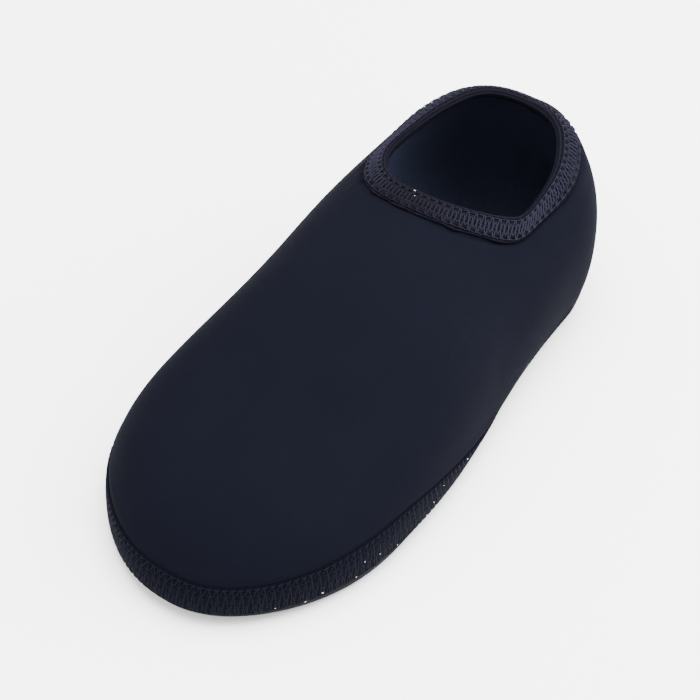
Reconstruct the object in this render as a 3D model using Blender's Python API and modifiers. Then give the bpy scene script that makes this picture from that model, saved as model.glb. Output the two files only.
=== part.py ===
"""A water shoe for the left foot: a slip-on neoprene upper with a bound collar, on a thin cupped sole.

The frame: +X runs from the heel to the toe, +Y to the outer side of the foot and +Z up.
The origin lies on the floor under the middle of the shoe. Lengths are in metres.

Every piece is cut from one surface, the outside of the closed shoe. That surface is worked out as
profiles that fan out round the shoe. Each starts at the collar, runs down over the widest line and
the rounded lower edge, and ends at the middle line of the bottom. A piece is a strip of these
profiles between two distances from the collar, lifted off the surface where it lies on top, and
given its thickness.
"""

from collections import namedtuple

import bmesh
import bpy
import numpy as np

MM = 0.001

# The last: the form that the shoe is built round
LENGTH = 250 * MM
BALL_WIDTH = 112 * MM
INSTEP_HEIGHT = 78 * MM
WIDEST_HEIGHT = 24 * MM
LOWER_EDGE = 14 * MM
HEEL_ROUND = 45 * MM
TOE_ROUND = 69 * MM
TOE_POWER = 2.24
HEEL_RISE = 27.5 * MM
HEEL_POWER = 2.55
NOSE_LENGTH = 39.5 * MM
NOSE_POWER = 2.05
TOE_SPRING = 3.5 * MM
SPRING_START = 195 * MM
ARCH_LIFT = 2 * MM
ARCH_START = 70 * MM
ARCH_END = 145 * MM
SPINE_INSET = 30 * MM

# The collar
THROAT = 86.5 * MM
COLLAR_DROP = 2 * MM
DIP_DEPTH = 10.5 * MM
INNER_DIP = 4.5 * MM
DIP_PLACE = 67 * MM
DIP_ROUND = 5 * MM
COLLAR_FAN = 0.5

# Materials and trim
WALL = 2.5 * MM
SOLE_THICK = 2.2 * MM
INSOLE_THICK = 1.5 * MM
INSOLE_MARGIN = 1.0 * MM
BINDING_WIDTH = 9.5 * MM
BINDING_THICK = 0.8 * MM
SEAM_HEIGHT = 14.5 * MM
SEAM_WIDTH = 8.5 * MM
SEAM_THICK = 0.8 * MM
INNER_SEAM_DROP = 0.3
HEEL_SEAM_WIDTH = 7 * MM
CLEARANCE = 0.3 * MM
BUTT_GAP = 0.3 * MM

# How finely the surface is cut into faces
AROUND = 72
UPPER_ROWS = 9
ROW_EASING = 1.4
FINE_POINTS = 48
HEEL_TURN = 0.3
HEEL_SEAM_ROWS = 12
HEEL_SEAM_COLUMNS = 5
WELD = 0.001 * MM
SHARP_ANGLE = 0.7

# The sections of the last, from heel to toe. Station is a share of the length. Width and shift, the
# middle line's way to the outer side, are shares of the ball width, and ridge is how far the crown
# leans to the outer side as a share of the half width. Crown, widest, tuck, seam and band are shares
# of the instep height, the widest line's height, the lower edge's depth, the seam's height and the
# seam's width. Fullness is the power of the section's arch, and inner what the inner side adds to it.
Section = namedtuple("Section", "station width shift ridge crown widest tuck seam band fullness inner")
SECTIONS = (
    Section(0.00, 0.844, 0.000, 0.00, 1.025, 1.30, 0.75, 0.28, 0.70, 2.40, 0.37),
    Section(0.17, 0.844, 0.000, 0.00, 1.025, 1.30, 0.75, 0.28, 0.70, 2.40, 0.37),
    Section(0.38, 0.898, -0.001, -0.16, 0.960, 0.77, 0.85, 0.32, 0.75, 2.21, 0.55),
    Section(0.55, 0.955, 0.010, -0.09, 0.860, 0.53, 0.55, 0.64, 1.08, 2.61, 0.06),
    Section(0.74, 0.997, -0.012, -0.17, 0.654, 0.26, 0.32, 0.92, 1.75, 2.67, 0.15),
    Section(0.90, 0.939, -0.023, 0.00, 0.502, 0.23, 0.30, 0.86, 1.60, 2.67, 0.00),
    Section(1.00, 0.809, 0.002, 0.00, 0.462, 0.23, 0.30, 0.84, 1.50, 2.67, 0.00),
)


def natural_spline(x, knots, values):
    """The smooth curve through the values at the knots, with no bend at its ends."""
    gaps = np.diff(knots)
    count = len(knots)
    matrix = np.eye(count)
    target = np.zeros(count)
    for i in range(1, count - 1):
        matrix[i, i - 1 : i + 2] = gaps[i - 1], 2 * (gaps[i - 1] + gaps[i]), gaps[i]
        slopes = (values[i + 1] - values[i]) / gaps[i], (values[i] - values[i - 1]) / gaps[i - 1]
        target[i] = 6 * (slopes[0] - slopes[1])
    bend = np.linalg.solve(matrix, target)
    i = np.clip(np.searchsorted(knots, x) - 1, 0, count - 2)
    left = x - knots[i]
    right = knots[i + 1] - x
    gap = gaps[i]
    curve = (bend[i] * right**3 + bend[i + 1] * left**3) / (6 * gap)
    curve += (values[i] / gap - bend[i] * gap / 6) * right
    curve += (values[i + 1] / gap - bend[i + 1] * gap / 6) * left
    return curve


def section(column, x):
    """One column of the sections table at the distances x from the heel."""
    stations = np.array([row.station for row in SECTIONS]) * LENGTH
    values = np.array([getattr(row, column) for row in SECTIONS])
    return natural_spline(x, stations, values)


def rounding(distance, reach, power):
    """Rises from 0 at an end of the shoe to 1 at the reach, as a quarter of a rounded square."""
    return (1 - np.clip(1 - distance / reach, 0, 1) ** power) ** (1 / power)


def plan(x):
    """The middle line, the half width and the crown's line of the shoe seen from above."""
    half = section("width", x) * BALL_WIDTH / 2
    half = half * rounding(x, HEEL_ROUND, 2) * rounding(LENGTH - x, TOE_ROUND, TOE_POWER)
    middle = section("shift", x) * BALL_WIDTH
    return middle, half, middle + section("ridge", x) * half


def widest_height(x):
    """Height of the widest line."""
    return section("widest", x) * WIDEST_HEIGHT


def crown_height(x):
    """Height of the crown line, as the last would close above the collar too."""
    low = widest_height(x)
    rise = section("crown", x) * INSTEP_HEIGHT - low
    ends = rounding(x, HEEL_RISE, HEEL_POWER) * rounding(LENGTH - x, NOSE_LENGTH, NOSE_POWER)
    return low + rise * ends


def floor_height(x):
    """Height of the bottom: flat under heel and ball, with a low arch and a toe spring."""
    along_arch = np.clip((x - ARCH_START) / (ARCH_END - ARCH_START), 0, 1)
    along_spring = np.clip((x - SPRING_START) / (LENGTH - SPRING_START), 0, 1)
    return ARCH_LIFT * np.sin(np.pi * along_arch) ** 2 + TOE_SPRING * along_spring**2


def roof(x, y):
    """Height of the upper over a point of the plan: an arch across each section."""
    middle, half, ridge = plan(x)
    side = np.where(y > ridge, middle + half - ridge, ridge - middle + half)
    reach = np.clip(np.abs(y - ridge) / np.maximum(side, 1e-9), 0, 1)
    low = widest_height(x)
    power = section("fullness", x) + np.where(y > ridge, 0, section("inner", x))
    return low + (crown_height(x) - low) * (1 - reach**power) ** (1 / power)


def collar_back():
    """Place and height of the collar at the heel, COLLAR_DROP under the top of the closed last."""
    heel = np.linspace(0, HEEL_RISE, 4 * FINE_POINTS)
    height = crown_height(heel[-1]) - COLLAR_DROP
    return np.interp(height, crown_height(heel), heel), height


def collar_height(x, outer):
    """Height of the collar seen from the side: a rounded V, deeper on the outer side."""

    def leg(distance):
        return np.hypot(distance, DIP_ROUND) - DIP_ROUND

    back, height = collar_back()
    depth = np.where(outer, DIP_DEPTH, INNER_DIP)
    lowest = height - depth
    front = (crown_height(THROAT) - lowest) / leg(THROAT - DIP_PLACE)
    rear = depth / leg(DIP_PLACE - back)
    return lowest + np.where(x > DIP_PLACE, front, rear) * leg(x - DIP_PLACE)


def collar_line(angles):
    """Points of the collar. Its turns are drawn together at the throat, to fan the profiles out."""
    back, _ = collar_back()
    turns = angles - COLLAR_FAN * np.sin(angles)
    x = back + (THROAT - back) * (1 + np.cos(turns)) / 2
    outer = np.sin(angles) > 0
    low, top = widest_height(x), crown_height(x)
    z = np.minimum(collar_height(x, outer), top)
    power = section("fullness", x) + np.where(outer, 0, section("inner", x))
    reach = (1 - np.clip((z - low) / (top - low), 0, 1) ** power) ** (1 / power)
    middle, half, ridge = plan(x)
    y = ridge + reach * np.where(outer, middle + half - ridge, middle - half - ridge)
    return np.stack([x, y, z], axis=-1)


def widest_line(angles):
    """Points of the widest line, from the toe at 0 round the outer side to the heel at pi."""
    x = LENGTH / 2 * (1 + np.cos(angles))
    middle, half, _ = plan(x)
    y = middle + np.where(np.sin(angles) > 0, half, -half)
    return np.stack([x, y, widest_height(x)], axis=-1)


def inward(angles):
    """Directions square to the widest line in plan, towards the inside."""
    step = 1e-3
    along = widest_line(angles + step) - widest_line(angles - step)
    across = np.stack([-along[:, 1], along[:, 0]], axis=-1)
    return across / np.linalg.norm(across, axis=1, keepdims=True)


def seam_height(angles):
    """Height of the sole's seam, up to INNER_SEAM_DROP of it lower on the inner side."""
    inner_side = np.clip(-np.sin(angles), 0, 1) ** 2
    x = widest_line(angles)[:, 0]
    return section("seam", x) * SEAM_HEIGHT * (1 - INNER_SEAM_DROP * inner_side)


def profiles(angles):
    """Points of the outside for each angle, in rows from the collar to the middle of the bottom.

    The other value is the row of the bottom's edge.
    """
    widest, collar = widest_line(angles), collar_line(angles)
    ease = 1 - np.cos(np.linspace(np.pi / 2, 0, FINE_POINTS))[:, None, None]
    flat = widest[:, :2] + (collar - widest)[:, :2] * ease
    upper = np.concatenate([flat, roof(flat[..., 0], flat[..., 1])[..., None]], axis=-1)
    upper[0], upper[-1] = collar, widest

    turn = np.linspace(0, np.pi / 2, FINE_POINTS // 2)[1:, None]
    x = widest[:, 0]
    tuck = section("tuck", x) * LOWER_EDGE * (1 - np.cos(turn))
    drop = (widest[:, 2] - floor_height(x)) * np.sin(turn)
    flat = widest[:, :2] + inward(angles) * tuck[..., None]
    edge = np.concatenate([flat, (widest[:, 2] - drop)[..., None]], axis=-1)

    spine_x = SPINE_INSET + (LENGTH - 2 * SPINE_INSET) * (1 + np.cos(angles)) / 2
    spine = np.stack([spine_x, plan(spine_x)[0]], axis=-1)
    share = np.linspace(0, 1, FINE_POINTS // 3)[1:, None, None]
    flat = edge[-1, :, :2] + (spine - edge[-1, :, :2]) * share
    bottom = np.concatenate([flat, floor_height(flat[..., 0])[..., None]], axis=-1)
    return np.concatenate([upper, edge, bottom]), len(upper) + len(edge) - 1


Surface = namedtuple("Surface", "points normals lengths seam band edge end")


def surface(angles, closed):
    """The outside over these angles, with its outward directions and the lengths down each profile.

    Seam, edge and end are the lengths from the collar to the sole's seam, the bottom's edge and its
    middle, and band is half the seam's width.
    """
    points, edge_row = profiles(angles)
    down = np.gradient(points, axis=0)
    if closed:
        around = np.roll(points, -1, axis=1) - np.roll(points, 1, axis=1)
    else:
        around = np.gradient(points, axis=1)
    normals = np.cross(down, around)
    normals[edge_row:] = 0, 0, -1
    normals /= np.linalg.norm(normals, axis=-1, keepdims=True)
    steps = np.linalg.norm(np.diff(points, axis=0), axis=-1)
    lengths = np.concatenate([np.zeros((1, len(angles))), np.cumsum(steps, axis=0)])
    fallen = -np.minimum.accumulate(points[..., 2], axis=0)
    columns = zip(seam_height(angles), fallen.T, lengths.T)
    seam = np.array([np.interp(-height, heights, column) for height, heights, column in columns])
    band = section("band", widest_line(angles)[:, 0]) * SEAM_WIDTH / 2
    return Surface(points, normals, lengths, seam, band, lengths[edge_row], lengths[-1])


def strip(outside, distances, lift):
    """The points at these distances down the profiles, a row for each, lifted off the surface."""
    found = np.empty((len(distances), outside.points.shape[1], 3))
    for column, lengths in enumerate(outside.lengths.T):
        wanted = [row[column] for row in distances]
        for axis in range(3):
            place = np.interp(wanted, lengths, outside.points[:, column, axis])
            normal = np.interp(wanted, lengths, outside.normals[:, column, axis])
            found[:, column, axis] = place + lift * normal
    return found


def between(first, last, shares):
    """Distances from the first to the last, at these shares of the way."""
    return [first + (last - first) * share for share in shares]


def upper_rows(outside):
    """Distances of the upper's rows, from the collar to its edge at the sole's seam."""
    everywhere = np.ones_like(outside.seam)
    under_binding = between(0 * everywhere, BINDING_WIDTH * everywhere, (0, 0.5))
    last = outside.seam - BUTT_GAP / 2
    at_seam = outside.seam - outside.band
    easing = 1 - (1 - np.linspace(0, 1, UPPER_ROWS)) ** ROW_EASING
    side = between(BINDING_WIDTH * everywhere, at_seam, easing)
    return under_binding + side + between(at_seam, last, (0.5, 1))


def sole_rows(outside):
    """Distances of the sole's rows, from its edge at the seam to the middle of the bottom."""
    first = outside.seam + BUTT_GAP / 2
    wall = between(first, outside.edge, (0, 0.2, 0.4, 0.6, 0.8, 1))
    return wall + between(outside.edge, outside.end, (0.15, 0.5, 1))


def insole_sheet(outside):
    """The insole's lower face, inside the bottom's edge."""
    rows = between(outside.edge + INSOLE_MARGIN, outside.end, (0, 0.15, 0.5, 1))
    return strip(outside, rows, -SOLE_THICK - CLEARANCE)


def sole_seam_sheet(outside, lift):
    """A face of the flat seam, which lies over the joint of upper and sole, this high off them."""
    first, last = outside.seam - outside.band, outside.seam + outside.band
    return strip(outside, between(first, last, (0, 0.25, 0.5, 0.75, 1)), lift)


def binding_sheet(outside):
    """The tape's face that lies against the wall: up the inside, over the edge, down the outside."""
    legs = [share * BINDING_WIDTH * np.ones_like(outside.seam) for share in (0, 0.5, 1)]
    inner = strip(outside, legs[::-1], -WALL - CLEARANCE)
    outer = strip(outside, legs, CLEARANCE)
    out = outside.normals[0]
    up = outside.points[0] - outside.points[1]
    up -= out * np.sum(out * up, axis=-1, keepdims=True)
    up /= np.linalg.norm(up, axis=-1, keepdims=True)
    turns = np.linspace(0, np.pi, 6)[1:-1, None, None]
    fold = outside.points[0] - out * WALL / 2
    fold = fold + (WALL / 2 + CLEARANCE) * (np.sin(turns) * up - np.cos(turns) * out)
    return np.concatenate([inner, fold, outer])


def heel_seam_sheet(lift):
    """A face of the flat seam down the back, from the binding to the sole's seam, this high off it."""
    near = np.linspace(np.pi - HEEL_TURN, np.pi + HEEL_TURN, 4 * FINE_POINTS + 1)
    across = widest_line(near)[:, 1]
    wanted = np.linspace(HEEL_SEAM_WIDTH / 2, -HEEL_SEAM_WIDTH / 2, HEEL_SEAM_COLUMNS)
    angles = np.interp(-wanted, -across, near)
    back = surface(angles, closed=False)
    first = (BINDING_WIDTH + CLEARANCE) * np.ones_like(back.seam)
    last = back.seam - back.band - CLEARANCE
    return strip(back, between(first, last, np.linspace(0, 1, HEEL_SEAM_ROWS)), lift)


def material(name, colour, roughness):
    """A plain material of this linear colour."""
    made = bpy.data.materials.new(name)
    made.use_nodes = True
    shader = made.node_tree.nodes["Principled BSDF"]
    shader.inputs["Base Color"].default_value = (*colour, 1)
    shader.inputs["Roughness"].default_value = roughness
    return made


def grid_mesh(name, rows, around, loop, made_of):
    """A mesh of four-sided faces over rows of points, closed round the shoe and, for a loop, end to end."""
    count, columns, _ = rows.shape
    faces = []
    for row in range(count if loop else count - 1):
        first, below = row * columns, (row + 1) % count * columns
        for column in range(columns if around else columns - 1):
            after = (column + 1) % columns
            faces.append((first + column, below + column, below + after, first + after))
    mesh = bpy.data.meshes.new(name)
    mesh.from_pydata(rows.reshape(-1, 3).tolist(), [], faces)
    shape = bmesh.new()
    shape.from_mesh(mesh)
    bmesh.ops.remove_doubles(shape, verts=shape.verts, dist=WELD)
    shape.to_mesh(mesh)
    shape.free()
    mesh.shade_smooth()
    mesh.set_sharp_from_angle(angle=SHARP_ANGLE)
    mesh.materials.append(made_of)
    return mesh


def add_piece(mesh, shoe):
    piece = bpy.data.objects.new(mesh.name, mesh)
    shoe.users_collection[0].objects.link(piece)
    piece.parent = shoe
    return piece


def add_wall(name, outside, distances, thickness, loop, made_of, shoe):
    """A wall from the outside inwards, whose ends stand square to the surface.

    It is a loft and no Solidify, which would tilt the two ends that meet under the sole's seam.
    """
    outer = strip(outside, distances, 0)
    inner = strip(outside, distances, -thickness)
    rows = np.concatenate([inner[::-1], outer])
    return add_piece(grid_mesh(name, rows, True, loop, made_of), shoe)


def add_sheet(name, rows, around, thickness, side, made_of, shoe):
    """A sheet with one face on these points, thickened outwards for a side of 1 and inwards for -1."""
    piece = add_piece(grid_mesh(name, rows, around, False, made_of), shoe)
    wall = piece.modifiers.new("Thickness", "SOLIDIFY")
    wall.thickness = thickness
    wall.offset = side
    return piece


def build():
    for old in list(bpy.data.objects):
        bpy.data.objects.remove(old)
    collection = bpy.data.collections.new("water_shoe")
    bpy.context.scene.collection.children.link(collection)

    outside = surface(np.arange(AROUND) * 2 * np.pi / AROUND, closed=True)
    seam_faces = sole_seam_sheet(outside, CLEARANCE + SEAM_THICK), heel_seam_sheet(CLEARANCE + SEAM_THICK)
    reach = np.concatenate([face.reshape(-1, 3) for face in (outside.points, *seam_faces)])
    centre = (reach.min(axis=0) + reach.max(axis=0)) / 2
    shoe = bpy.data.objects.new("shoe", None)
    shoe.location = (-centre[0], -centre[1], 0)
    collection.objects.link(shoe)

    neoprene = material("Neoprene", (0.016, 0.018, 0.028), 0.85)
    tape = material("Elastic tape", (0.024, 0.024, 0.034), 0.8)
    rubber = material("Rubber sheet", (0.012, 0.013, 0.018), 0.7)
    thread = material("Seam thread", (0.02, 0.021, 0.03), 0.8)
    foam = material("Foam", (0.01, 0.011, 0.016), 0.9)

    add_wall("upper", outside, upper_rows(outside), WALL, True, neoprene, shoe)
    add_wall("sole", outside, sole_rows(outside), SOLE_THICK, False, rubber, shoe)
    add_sheet("insole", insole_sheet(outside), True, INSOLE_THICK, -1, foam, shoe)
    sole_seam = sole_seam_sheet(outside, CLEARANCE)
    add_sheet("sole_seam", sole_seam, True, SEAM_THICK, 1, thread, shoe)
    add_sheet("heel_seam", heel_seam_sheet(CLEARANCE), False, SEAM_THICK, 1, thread, shoe)
    add_sheet("collar_binding", binding_sheet(outside), True, BINDING_THICK, 1, tape, shoe)


build()
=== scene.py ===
# %% [markdown]
# # A water shoe of soft neoprene
#
# This lesson dresses a slip-on water shoe: a plump upper of knit-faced neoprene foam, an elastic
# binding round the collar, a flat overlock seam where the upper meets a thin rubber sole, and a
# second one down the heel. The solids already have the true sizes, so they are loaded first as a
# fixed frame, and every soft surface is then worked out over them.

# %% Load the solids
from collections import namedtuple

import bmesh
import bpy
import numpy as np
from mathutils import Matrix, Vector


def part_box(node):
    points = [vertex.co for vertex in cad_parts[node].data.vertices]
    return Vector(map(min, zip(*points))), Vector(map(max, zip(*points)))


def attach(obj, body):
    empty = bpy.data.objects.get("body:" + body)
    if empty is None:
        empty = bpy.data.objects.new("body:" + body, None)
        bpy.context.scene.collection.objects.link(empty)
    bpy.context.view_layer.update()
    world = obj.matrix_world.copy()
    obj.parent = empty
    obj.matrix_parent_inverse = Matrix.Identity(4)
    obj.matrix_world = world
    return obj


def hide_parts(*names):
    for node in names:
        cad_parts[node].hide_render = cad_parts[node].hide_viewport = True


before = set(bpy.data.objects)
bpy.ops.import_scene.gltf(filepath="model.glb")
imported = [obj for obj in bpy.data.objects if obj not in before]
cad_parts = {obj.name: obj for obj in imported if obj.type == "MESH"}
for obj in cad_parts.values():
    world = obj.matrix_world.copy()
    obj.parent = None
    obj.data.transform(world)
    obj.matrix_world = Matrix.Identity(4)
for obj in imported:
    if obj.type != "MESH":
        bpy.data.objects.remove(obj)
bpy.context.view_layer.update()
print("solids:", ", ".join(sorted(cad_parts)))

# %% [markdown]
# ## The sizes
#
# A shoe is built round a last, so all the sizes are the last's: its length, the width at the ball
# of the foot, the height of the instep, and how the ends are rounded. They are the solids' own
# sizes, written in metres by way of a millimetre.

# %% Sizes of the last
MM = 0.001
LENGTH = 250 * MM
BALL_WIDTH = 112 * MM
INSTEP_HEIGHT = 78 * MM
WIDEST_HEIGHT = 24 * MM
LOWER_EDGE = 14 * MM
HEEL_ROUND, TOE_ROUND, TOE_POWER = 45 * MM, 69 * MM, 2.24
HEEL_RISE, HEEL_POWER = 27.5 * MM, 2.55
NOSE_LENGTH, NOSE_POWER = 39.5 * MM, 2.05
TOE_SPRING, SPRING_START = 3.5 * MM, 195 * MM
ARCH_LIFT, ARCH_START, ARCH_END = 2 * MM, 70 * MM, 145 * MM
SPINE_INSET = 30 * MM

# %% Sizes of the collar, the walls and the seams
THROAT, COLLAR_DROP = 86.5 * MM, 2 * MM
DIP_DEPTH, INNER_DIP = 10.5 * MM, 4.5 * MM
DIP_PLACE, DIP_ROUND, COLLAR_FAN = 67 * MM, 5 * MM, 0.5
WALL, SOLE_THICK, INSOLE_THICK, INSOLE_MARGIN = 2.5 * MM, 2.2 * MM, 1.5 * MM, 1 * MM
BINDING_WIDTH, BINDING_THICK = 9.5 * MM, 0.8 * MM
SEAM_HEIGHT, SEAM_WIDTH, SEAM_THICK = 14.5 * MM, 8.5 * MM, 0.8 * MM
INNER_SEAM_DROP = 0.3
HEEL_SEAM_WIDTH = 7 * MM
CLEARANCE = 0.3 * MM

# %% [markdown]
# ## The last as sections
#
# Seven cross-sections, read from heel to toe, give the shoe its form. Each row says how wide the
# shoe is there, how far its middle line and its crown lean to one side, how high the crown and the
# widest line lie, how far the lower edge tucks in, where the sole's seam runs, and how square the
# arch is. A natural spline through each column gives the form between the rows, which is how a
# naval architect fairs a hull, and it needs only a handful of numbers.

# %% The table of sections
# Station is a share of the length, width and shift are shares of the ball's width, and ridge of the
# half width. Crown, widest, tuck, seam and band are shares of the instep's height, the widest line's
# height, the lower edge's depth, the seam's height and its width. Fullness is the arch's power, and
# inner is what the inner side adds to it.
Section = namedtuple("Section", "station width shift ridge crown widest tuck seam band fullness inner")
SECTIONS = (
    Section(0.00, 0.844, 0.000, 0.00, 1.025, 1.30, 0.75, 0.28, 0.70, 2.40, 0.37),
    Section(0.17, 0.844, 0.000, 0.00, 1.025, 1.30, 0.75, 0.28, 0.70, 2.40, 0.37),
    Section(0.38, 0.898, -0.001, -0.16, 0.960, 0.77, 0.85, 0.32, 0.75, 2.21, 0.55),
    Section(0.55, 0.955, 0.010, -0.09, 0.860, 0.53, 0.55, 0.64, 1.08, 2.61, 0.06),
    Section(0.74, 0.997, -0.012, -0.17, 0.654, 0.26, 0.32, 0.92, 1.75, 2.67, 0.15),
    Section(0.90, 0.939, -0.023, 0.00, 0.502, 0.23, 0.30, 0.86, 1.60, 2.67, 0.00),
    Section(1.00, 0.809, 0.002, 0.00, 0.462, 0.23, 0.30, 0.84, 1.50, 2.67, 0.00),
)


def natural_spline(x, knots, values):
    """The smooth curve through the values at the knots.

    Between two knots it is a cubic whose second derivative runs straight from one knot's bend to
    the next one's. The bends come from one linear system, with none at the two ends.
    """
    gaps = np.diff(knots)
    inner = np.arange(1, len(knots) - 1)
    matrix, target = np.eye(len(knots)), np.zeros(len(knots))
    matrix[inner, inner - 1] = gaps[:-1]
    matrix[inner, inner] = 2 * (gaps[:-1] + gaps[1:])
    matrix[inner, inner + 1] = gaps[1:]
    target[inner] = 6 * np.diff(np.diff(values) / gaps)
    bend = np.linalg.solve(matrix, target)
    i = np.clip(np.searchsorted(knots, x) - 1, 0, len(gaps) - 1)
    left, right, gap = x - knots[i], knots[i + 1] - x, gaps[i]
    curve = (bend[i] * right**3 + bend[i + 1] * left**3) / (6 * gap)
    curve = curve + (values[i] / gap - bend[i] * gap / 6) * right
    return curve + (values[i + 1] / gap - bend[i + 1] * gap / 6) * left


def section(column, x):
    """One column of the table at the distances x from the heel."""
    table = np.array(SECTIONS)
    return natural_spline(x, table[:, 0] * LENGTH, table[:, Section._fields.index(column)])


print("half widths:", np.round(section("width", np.linspace(0, LENGTH, 6)) * BALL_WIDTH / 2 / MM, 1))

# %% [markdown]
# ## Outline, crown and bottom
#
# From the table come three plain things: the outline seen from above, the height of the crown line
# seen from the side, and the bottom with its arch and toe spring. The ends are closed with a
# superellipse, which gives the round heel and the blunter toe with one power each.

# %% Plan and heights
TINY = 1e-9


def rounding(distance, reach, power):
    """A quarter superellipse: (1 - (1 - distance / reach)^power)^(1 / power), 1 past the reach."""
    return (1 - np.clip(1 - distance / reach, 0, 1) ** power) ** (1 / power)


def plan(x):
    """Middle line, half width and crown line, seen from above."""
    ends = rounding(x, HEEL_ROUND, 2) * rounding(LENGTH - x, TOE_ROUND, TOE_POWER)
    half = section("width", x) * BALL_WIDTH / 2 * ends
    middle = section("shift", x) * BALL_WIDTH
    return middle, half, middle + section("ridge", x) * half


def widest_height(x):
    """Height of the widest line, where the side turns from leaning out to leaning in."""
    return section("widest", x) * WIDEST_HEIGHT


def crown_height(x):
    """Height of the crown line, closed at both ends by a superellipse."""
    low = widest_height(x)
    ends = rounding(x, HEEL_RISE, HEEL_POWER) * rounding(LENGTH - x, NOSE_LENGTH, NOSE_POWER)
    return low + (section("crown", x) * INSTEP_HEIGHT - low) * ends


def floor_height(x):
    """Height of the bottom: a squared sine for the arch and a parabola for the toe spring."""
    arch = np.clip((x - ARCH_START) / (ARCH_END - ARCH_START), 0, 1)
    spring = np.clip((x - SPRING_START) / (LENGTH - SPRING_START), 0, 1)
    return ARCH_LIFT * np.sin(np.pi * arch) ** 2 + TOE_SPRING * spring**2


def roof(x, y):
    """Height of the upper over a point of the plan: a superellipse across each section."""
    middle, half, ridge = plan(x)
    side = np.where(y > ridge, middle + half - ridge, ridge - middle + half)
    reach = np.clip(np.abs(y - ridge) / np.maximum(side, TINY), 0, 1)
    low = widest_height(x)
    power = section("fullness", x) + np.where(y > ridge, 0, section("inner", x))
    return low + (crown_height(x) - low) * (1 - reach**power) ** (1 / power)


# %% [markdown]
# ## Profiles that fan out round the shoe
#
# The whole outside is one function of two parameters. The first is an angle round the shoe, 0 at
# the toe, a quarter turn at the outer side and half a turn at the heel. The second runs down a
# profile, from the collar over the widest line and the lower edge to the middle of the bottom. A
# fan suits a shoe better than slices from heel to toe, because both ends stay smooth and the
# collar is an edge of the grid.

# %% Collar, widest line and profiles
FINE = 48
TURN_STEP = 1e-3


def collar_back():
    """Place and height of the collar at the heel, a little under the top of the closed last."""
    heel = np.linspace(0, HEEL_RISE, 4 * FINE)
    height = crown_height(heel[-1]) - COLLAR_DROP
    return np.interp(height, crown_height(heel), heel), height


def leg(distance):
    """A hyperbola's way off its lowest point: sqrt(distance^2 + round^2) - round."""
    return np.hypot(distance, DIP_ROUND) - DIP_ROUND


def collar_height(x, outer):
    """A rounded V seen from the side, two hyperbola legs that meet at the dip, deeper outside."""
    back, height = collar_back()
    depth = np.where(outer, DIP_DEPTH, INNER_DIP)
    lowest = height - depth
    front = (crown_height(THROAT) - lowest) / leg(THROAT - DIP_PLACE)
    rear = depth / leg(DIP_PLACE - back)
    return lowest + np.where(x > DIP_PLACE, front, rear) * leg(x - DIP_PLACE)


def collar_line(angles):
    """The collar, where the rounded V cuts the last. Its turns crowd together at the throat."""
    back, _ = collar_back()
    turns = angles - COLLAR_FAN * np.sin(angles)
    x = back + (THROAT - back) * (1 + np.cos(turns)) / 2
    low, top, outer = widest_height(x), crown_height(x), np.sin(angles) > 0
    z = np.minimum(collar_height(x, outer), top)
    power = section("fullness", x) + np.where(outer, 0, section("inner", x))
    reach = (1 - np.clip((z - low) / (top - low), 0, 1) ** power) ** (1 / power)
    middle, half, ridge = plan(x)
    side = np.where(outer, middle + half - ridge, middle - half - ridge)
    return np.stack([x, ridge + reach * side, z], axis=-1)


def widest_line(angles):
    """The widest line: x runs as a cosine, y is the outline."""
    x = LENGTH / 2 * (1 + np.cos(angles))
    middle, half, _ = plan(x)
    y = middle + np.where(np.sin(angles) > 0, half, -half)
    return np.stack([x, y, widest_height(x)], axis=-1)


def inward(angles):
    """Directions square to the widest line in plan, towards the inside."""
    along = widest_line(angles + TURN_STEP) - widest_line(angles - TURN_STEP)
    across = np.stack([-along[:, 1], along[:, 0]], axis=-1)
    return across / np.linalg.norm(across, axis=1, keepdims=True)


def seam_height(angles):
    """Height of the sole's seam. A squared sine lowers it on the inner side of the foot."""
    inner_side = np.clip(-np.sin(angles), 0, 1) ** 2
    share = section("seam", widest_line(angles)[:, 0])
    return share * SEAM_HEIGHT * (1 - INNER_SEAM_DROP * inner_side)


def profiles(angles):
    """Points of the outside, rows down the profile and a column for each angle.

    Above the widest line a point slides in plan from the line to the collar and takes its height
    from the roof. The lower edge is a quarter ellipse, and the bottom runs straight to its middle.
    """
    widest, collar = widest_line(angles), collar_line(angles)
    ease = 1 - np.cos(np.linspace(np.pi / 2, 0, FINE))[:, None, None]
    flat = widest[:, :2] + (collar - widest)[:, :2] * ease
    upper = np.concatenate([flat, roof(flat[..., 0], flat[..., 1])[..., None]], axis=-1)
    upper[0], upper[-1] = collar, widest

    turn = np.linspace(0, np.pi / 2, FINE // 2)[1:, None]
    tuck = section("tuck", widest[:, 0]) * LOWER_EDGE * (1 - np.cos(turn))
    drop = (widest[:, 2] - floor_height(widest[:, 0])) * np.sin(turn)
    flat = widest[:, :2] + inward(angles) * tuck[..., None]
    edge = np.concatenate([flat, (widest[:, 2] - drop)[..., None]], axis=-1)

    spine_x = SPINE_INSET + (LENGTH - 2 * SPINE_INSET) * (1 + np.cos(angles)) / 2
    spine = np.stack([spine_x, plan(spine_x)[0]], axis=-1)
    share = np.linspace(0, 1, FINE // 3)[1:, None, None]
    flat = edge[-1, :, :2] + (spine - edge[-1, :, :2]) * share
    bottom = np.concatenate([flat, floor_height(flat[..., 0])[..., None]], axis=-1)
    return np.concatenate([upper, edge, bottom])


WIDEST_ROW = FINE - 1
EDGE_ROW = FINE + FINE // 2 - 2
print("profile rows:", len(profiles(np.zeros(1))))

# %% [markdown]
# ## A skin to build on
#
# Every piece lies on this surface or a little above or below it, so the profiles are kept with
# their outward directions and with the length of thread that would reach each point from the
# collar. A piece can then be asked for in a maker's words: so many millimetres down from the
# collar, and so much proud of the foam. The solids stand with their box's middle at the origin, so
# the skin is shifted once, by what the frame says.

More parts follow.
